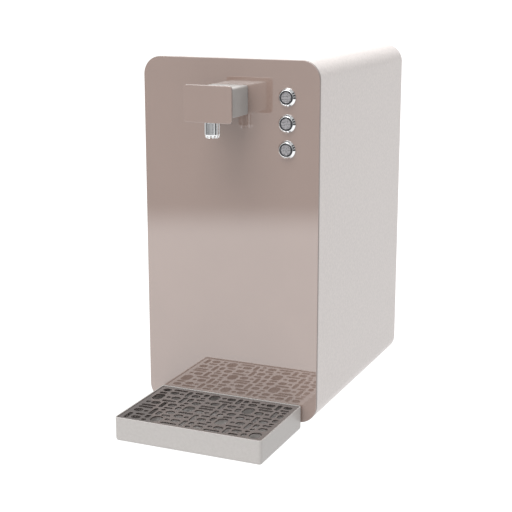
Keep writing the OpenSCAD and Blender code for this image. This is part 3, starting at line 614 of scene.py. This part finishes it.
nozzle_low, nozzle_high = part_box("nozzle_body")
nozzle_radius = (nozzle_high.x - nozzle_low.x) / 2
nozzle_y = (nozzle_low.y + nozzle_high.y) / 2
housing_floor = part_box("spout_housing")[0].z - nozzle_low.z
spigot_top = nozzle_high.z - nozzle_low.z
bore, mouth, spigot = 0.003, 0.006, 0.006
flutes, flute_r, flute_out = 12, 0.0014, 0.0005
tooth_gap, tooth_height, tooth_slope = 0.0018, 0.0026, 0.0002
# Each row: radius, height above the mouth, share of the flute's cut, share of the tooth gap's lift
nozzle_rows = np.array([
    (bore, spigot_top, 0, 0), (bore, 0.0072, 0, 0), (mouth - 0.0002, 0.0070, 0, 0),
    (mouth, 0.0068, 0, 0), (mouth, 0.0027, 0, 0), (mouth, 0.0003, 0, 1), (mouth + 0.0003, 0, 0, 1),
    (nozzle_radius - 0.0015, 0, 0, 1), (nozzle_radius - 0.0012, 0.0003, 0.6, 1),
    (nozzle_radius - 0.0006, 0.0029, 0.8, 0), (nozzle_radius - 0.0001, 0.0038, 1, 0),
    (nozzle_radius, 0.0044, 1, 0), (nozzle_radius, housing_floor - 0.0052, 1, 0),
    (nozzle_radius, housing_floor - 0.0045, 0.8, 0), (nozzle_radius, housing_floor - 0.0040, 0, 0),
    (nozzle_radius, housing_floor - 0.0004, 0, 0), (nozzle_radius - 0.0004, housing_floor - 1e-5, 0, 0),
    (spigot, housing_floor - 1e-5, 0, 0), (spigot, spigot_top - 0.0004, 0, 0),
    (spigot - 0.0004, spigot_top, 0, 0)])


def fluted(rows, columns=384):
    """Rings of the nozzle.  At angle t, x is the distance along the rim from the nearest flute's
    middle; a flute is a round cut about a line just outside the rim, so the radius drops by
    sqrt(flute_r^2 - x^2) - flute_out.  Half a step round from it, a gap lifts the lower rows."""
    radius, height, cut, lift = (rows[:, k:k + 1] for k in range(4))
    t = np.linspace(0.0, 2 * np.pi, columns, endpoint=False)[None, :]
    step = 2 * np.pi / flutes
    from_flute = abs((t + step / 2) % step - step / 2) * nozzle_radius
    from_gap = abs(t % step - step / 2) * nozzle_radius
    drop = np.maximum(np.sqrt(np.maximum(flute_r**2 - from_flute**2, 0.0)) - flute_out, 0.0)
    gap = np.clip((tooth_gap / 2 + tooth_slope - from_gap) / tooth_slope, 0.0, 1.0)
    reach = radius - cut * drop
    rise = height + lift * gap * (tooth_height - height)
    return np.stack([reach * np.cos(t), reach * np.sin(t), rise + 0 * t], -1)


nozzle_rings = facing_z(fluted(nozzle_rows), 0.0, nozzle_y)
nozzle_rings[..., 2] += nozzle_low.z
fitted(skin("chrome_nozzle", nozzle_rings, closed=True), "cabinet", "chrome", chrome, "nozzle_body")
dressed("nozzle_insert", white_plastic)
dressed("nozzle_nut", brass)


# ---------------------------------------------------------------------------------------------
# Push buttons.  Each has a chromed bezel with a threaded barrel, a black guide ring, and a grey
# cap with a fine dimpled face; a nut and a sealed switch sit behind the panel.
def make_dimples():
    """Fine dimples on a face square to Y: the distance to the nearest point of a slightly shaken
    grid in X and Z."""
    group, given, out, place = new_pattern("dimples", size=1000.0)
    apart = group.nodes.new("ShaderNodeSeparateXYZ")
    flat = group.nodes.new("ShaderNodeCombineXYZ")
    put(group, place, apart.inputs[0])
    put(group, apart.outputs["X"], flat.inputs["X"])
    put(group, apart.outputs["Z"], flat.inputs["Y"])
    cells = group.nodes.new("ShaderNodeTexVoronoi")
    cells.voronoi_dimensions = "2D"
    cells.inputs["Randomness"].default_value = 0.3
    put(group, flat.outputs[0], cells.inputs["Vector"])
    put(group, given["size"], cells.inputs["Scale"])
    put(group, spread(group, cells.outputs["Distance"], 0.1, 0.6), out["Mask"])
    put(group, cells.outputs["Distance"], out["Height"])
    return group


dimples = make_dimples()
button_grey = finish_of("button_grey", dimples, (0.44, 0.43, 0.445), (0.12, 0.118, 0.124),
                        (0.34, 0.46), bump=0.00015, metallic=0.4, size=560.0)
ring_black = finish_of("ring_black", moulded_grain, (0.012, 0.013, 0.016), (0.020, 0.021, 0.026),
                       (0.28, 0.38))
barrel_r, ring_bore, ring_back = 0.0094, 0.0027, 0.001
cap_thick, stem_r, dish_depth = 0.0045, 0.0026, 0.00022
for name in ("top", "middle", "bottom"):
    bezel, ring, cap = (name + "_button_" + kind for kind in ("bezel", "ring", "cap"))
    low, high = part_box(bezel)
    centre = (low.x + high.x) / 2, (low.z + high.z) / 2
    bezel_r = (high.x - low.x) / 2
    ring_low, ring_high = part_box(ring)
    ring_r = (ring_high.x - ring_low.x) / 2
    rim = panel_face - 0.0012
    bezel_profile = rounded(
        [(bezel_r, panel_face - 1e-5), (bezel_r, rim), (ring_r + 0.00055, low.y), (ring_r + 0.00005, low.y),
         (ring_r + 0.00005, high.y), (barrel_r, high.y), (barrel_r, panel_face - 1e-5)],
        [0.0001, 0.0005, 0.0003, 0.0002, 0.0003, 0.0005, 0.0001], closed=True)
    fitted(skin(name + "_bezel", facing_y(turned(bezel_profile, 96), *centre), closed=True),
           "cabinet", "chrome", chrome, bezel)
    cap_low, cap_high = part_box(cap)
    cap_r = (cap_high.x - cap_low.x) / 2
    ring_profile = rounded(
        [(ring_r, ring_high.y), (ring_r, ring_low.y), (cap_r + 0.0001, ring_low.y),
         (cap_r + 0.0001, ring_high.y - ring_back), (ring_bore, ring_high.y - ring_back),
         (ring_bore, ring_high.y)],
        [0, 0.0005, 0.0004, 0, 0, 0], closed=True)
    fitted(skin(name + "_ring", facing_y(turned(ring_profile, 96), *centre), closed=True),
           "cabinet", "black_plastic", ring_black, ring)
    dish = np.linspace(pole, cap_r - 0.0007, 8)
    face = [(r, cap_low.y + dish_depth * (1 - (r / dish[-1]) ** 2)) for r in dish]
    cap_profile = rounded(
        face + [(cap_r, cap_low.y), (cap_r, cap_low.y + cap_thick), (stem_r, cap_low.y + cap_thick),
                (stem_r, cap_high.y), (pole, cap_high.y)],
        [0] * len(face) + [0.0004, 0.0003, 0, 0.0003, 0])
    fitted(skin(name + "_cap", facing_y(turned(cap_profile, 96), *centre)),
           name + "_button", "button_grey", button_grey, cap)
    dressed(name + "_button_switch", black_plastic)
dressed("button_nuts", screw_steel)


# ---------------------------------------------------------------------------------------------
# Drip tray.  A moulded, coated tray with rounded lower edges, a thin rim and a ledge on which the
# grille lies.  The grille is a steel plate cut into pebbles, slots and dots, brushed and tinted.
tray_low, tray_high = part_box("drip_tray")
tray_size = tray_high - tray_low
tray_mid_y = (tray_low.y + tray_high.y) / 2
grille_low, grille_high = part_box("drip_grille")
tray_wall, ledge, tray_floor = 0.0016, 0.002, 0.0024
tray_corner, floor_inset = 0.004, 0.012
tray_profile = rounded(
    [(floor_inset, 0), (0, 0), (0, tray_high.z), (tray_wall, tray_high.z), (tray_wall, grille_low.z),
     (tray_wall + ledge, grille_low.z), (tray_wall + ledge, tray_floor), (floor_inset, tray_floor)],
    [0, 0.0040, 0.0005, 0.0005, 0.0002, 0.0004, 0.0015, 0], steps=6)
tray_coat = finish_of("tray_coat", powder_grain, (0.412, 0.391, 0.377), (0.440, 0.419, 0.405),
                      (0.30, 0.42), bump=0.00003, peel=700.0)
fitted(skin("tray_shell", facing_z(
    stacked(tray_size.x, tray_size.y, tray_corner, tray_profile, 10), 0.0, tray_mid_y)),
    "tray", "tray_grey", tray_coat, "drip_tray")


def make_drawn_lines():
    """Lines left by a belt: noise squeezed by its own count of lines to the metre on each axis."""
    group, given, out, place = new_pattern("drawn_lines", across_x=2200.0, across_y=2200.0, across_z=2200.0)
    counts = group.nodes.new("ShaderNodeCombineXYZ")
    squeezed = group.nodes.new("ShaderNodeVectorMath")
    squeezed.operation = "MULTIPLY"
    for k, label in enumerate(("across_x", "across_y", "across_z")):
        put(group, given[label], counts.inputs[k])
    put(group, place, squeezed.inputs[0])
    put(group, counts.outputs[0], squeezed.inputs[1])
    lines = noise(group, squeezed.outputs[0], 1.0, 3.0)
    put(group, spread(group, lines, 0.3, 0.7), out["Mask"])
    put(group, lines, out["Height"])
    return group


drawn_lines = make_drawn_lines()
grille_steel = finish_of("grille_steel", drawn_lines, (0.092, 0.073, 0.066), (0.114, 0.092, 0.085),
                         (0.09, 0.15), bump=0.000001, metallic=0.4, ior=1.9, across_x=30.0)
grille_loops = face_loops("drip_grille", 2, grille_high.z)
fitted(pierced_plate("grille_plate", grille_loops[0], grille_loops[1:], (grille_high.z, grille_low.z),
                     0.00025, lambda p: p), "grille", "grille_steel", grille_steel, "drip_grille")


# ---------------------------------------------------------------------------------------------
# Rear fittings.  A chromed water inlet and a push-in gas inlet pass through the rear cover, and
# the mains inlet and the rocker switch are black mouldings set into it.
fitted(softened("water_inlet_stub", "water_inlet", 0.0004), "cabinet", "chrome", chrome, "water_inlet")
for name, node in (("gas_inlet_collar", "gas_inlet"), ("mains_inlet", "power_inlet"),
                   ("switch_bezel", "power_switch_frame")):
    fitted(softened(name, node, 0.0004), "cabinet", "black_plastic", black_plastic, node)
rocker_black = finish_of("rocker_black", smears, (0.014, 0.014, 0.015), (0.020, 0.020, 0.021),
                         (0.12, 0.22))
fitted(softened("switch_rocker", "power_rocker", 0.0004), "rocker", "rocker_black", rocker_black,
       "power_rocker")


# ---------------------------------------------------------------------------------------------
# Inside.  Zinc-plated shelf and base plate, the foam-covered cold tank with its copper coil, the
# compressor, condenser and fan, the water works and the control board.
zinc_sheet = finish_of("zinc_sheet", drawn_lines, (0.50, 0.51, 0.53), (0.62, 0.63, 0.65), (0.28, 0.42),
                       bump=0.00002, metallic=1.0, across_x=40.0)
stainless = finish_of("stainless", drawn_lines, (0.55, 0.55, 0.54), (0.66, 0.66, 0.65), (0.20, 0.32),
                      bump=0.00002, metallic=1.0, across_x=300.0, across_y=300.0)
foam_skin = finish_of("foam_skin", moulded_grain, (0.030, 0.032, 0.034), (0.050, 0.052, 0.055),
                      (0.80, 0.92), bump=0.0003, size=500.0)
copper = finish_of("copper", smears, (0.62, 0.30, 0.17), (0.78, 0.42, 0.26), (0.20, 0.36),
                   metallic=1.0, size=120.0)
black_enamel = finish_of("black_enamel", powder_grain, (0.014, 0.014, 0.015), (0.020, 0.020, 0.022),
                         (0.22, 0.32), bump=0.00015, peel=300.0)
fin_aluminium = finish_of("fin_aluminium", drawn_lines, (0.60, 0.61, 0.63), (0.72, 0.73, 0.75),
                          (0.30, 0.42), bump=0.00002, metallic=1.0, across_z=60.0)
motor_case = finish_of("motor_case", powder_grain, (0.09, 0.095, 0.10), (0.12, 0.125, 0.13), (0.34, 0.46),
                       bump=0.0001, metallic=0.6)
coil_blue = finish_of("coil_blue", moulded_grain, (0.012, 0.035, 0.12), (0.018, 0.050, 0.16), (0.26, 0.36))
board_green = finish_of("board_green", dimples, (0.010, 0.085, 0.030), (0.020, 0.120, 0.045),
                        (0.24, 0.36), bump=0.00008, size=260.0)
gas_blue = finish_of("gas_blue", moulded_grain, (0.016, 0.055, 0.22), (0.024, 0.075, 0.28), (0.34, 0.46))
for material, nodes in (
        (zinc_sheet, ("base_plate", "tank_shelf")),
        (stainless, ("cold_tank", "carbonator", "outlet_pipe")),
        (foam_skin, ("tank_insulation",)),
        (copper, ("evaporator_coil", "suction_pipe", "discharge_pipe")),
        (black_enamel, ("compressor",)),
        (black_rubber, ("compressor_grommets",)),
        (screw_steel, ("compressor_bolts",)),
        (fin_aluminium, ("condenser",)),
        (black_plastic, ("fan_frame", "fan_rotor")),
        (motor_case, ("pump_motor",)),
        (brass, ("pump_head",)),
        (coil_blue, ("still_valve", "chilled_valve", "sparkling_valve")),
        (board_green, ("control_board",)),
        (white_plastic, ("valve_manifold", "feed_hose", "pump_hose")),
        (gas_blue, ("gas_hose",))):
    for node in nodes:
        dressed(node, material)
